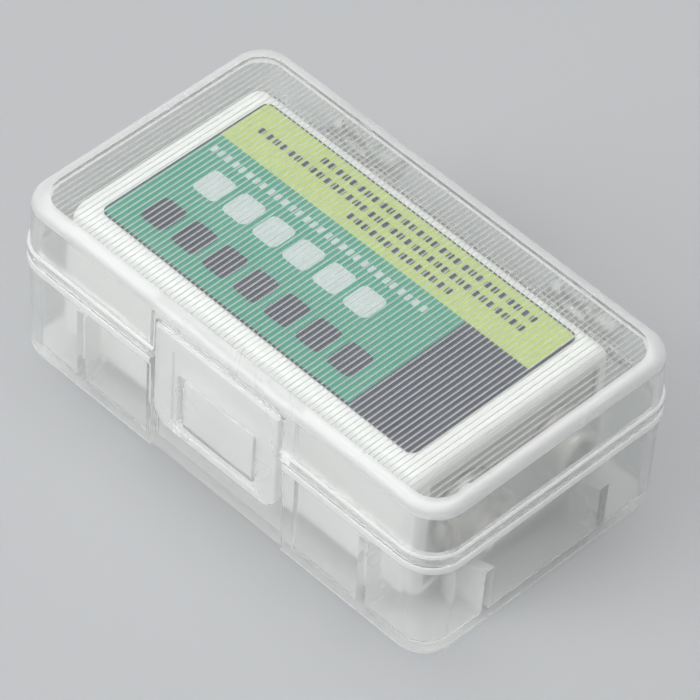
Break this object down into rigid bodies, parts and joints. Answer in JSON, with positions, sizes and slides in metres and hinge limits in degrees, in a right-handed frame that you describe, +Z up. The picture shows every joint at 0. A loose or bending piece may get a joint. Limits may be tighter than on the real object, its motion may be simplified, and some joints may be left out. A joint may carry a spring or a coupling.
{
  "type": "battery case",
  "caption": "Small frosted clear plastic case with a reeded hinged lid and a front latch flap, holding one nine-volt block battery.",
  "frame": {"origin": "centre of the tray's flat underside, on the surface that the case stands on", "axes": "+X along the long side towards the battery's terminals, +Y towards the hinge with the latch at -Y, +Z up"},
  "size_m": [0.058, 0.0373, 0.021],
  "materials": {
    "case_plastic": "frosted natural polypropylene, injection moulded, see-through",
    "steel_wire": "drawn stainless wire",
    "battery_film": "white shrink film",
    "printed_label": "printed film in teal, lime and navy blocks",
    "grey_board": "light grey pressed board",
    "nickel_plate": "nickel-plated steel sheet",
    "insulator": "insulating card",
    "cell_can": "nickel-plated cell can"
  },
  "bodies": {
    "tray": {"tray_base": "case_plastic", "hinge_pin_left": "steel_wire", "hinge_pin_right": "steel_wire"},
    "lid": {"lid_shell": "case_plastic"},
    "latch": {"latch_flap": "case_plastic"},
    "battery": {"battery_jacket": "battery_film", "battery_label": "printed_label", "battery_end_plate": "grey_board", "terminal_board": "grey_board", "positive_stud": "nickel_plate", "negative_socket": "nickel_plate", "positive_rivet": "nickel_plate", "negative_rivet": "nickel_plate", "lead_strip": "nickel_plate", "lower_pad": "insulator", "upper_pad": "insulator", "cell_1": "cell_can", "cell_2": "cell_can", "cell_3": "cell_can", "cell_4": "cell_can", "cell_5": "cell_can", "cell_6": "cell_can", "cell_7": "cell_can"}
  },
  "joints": [
    {"name": "lid_open", "type": "hinge", "parent": "tray", "child": "lid", "pos_m": [0, 0.0188, 0.01375], "axis": [-1, 0, 0], "range_deg": [0, 110]},
    {"name": "latch_swing", "type": "hinge", "parent": "lid", "child": "latch", "pos_m": [0, -0.01685, 0.01892], "axis": [-1, 0, 0], "range_deg": [0, 88]},
    {"name": "battery_lift", "type": "slide", "parent": "tray", "child": "battery", "axis": [0, 0, 1], "range_m": [0, 0.0005]}
  ],
  "couplings": [
    {"joint": "latch_swing", "follows": "lid_open", "ratio": 0.8}
  ]
}
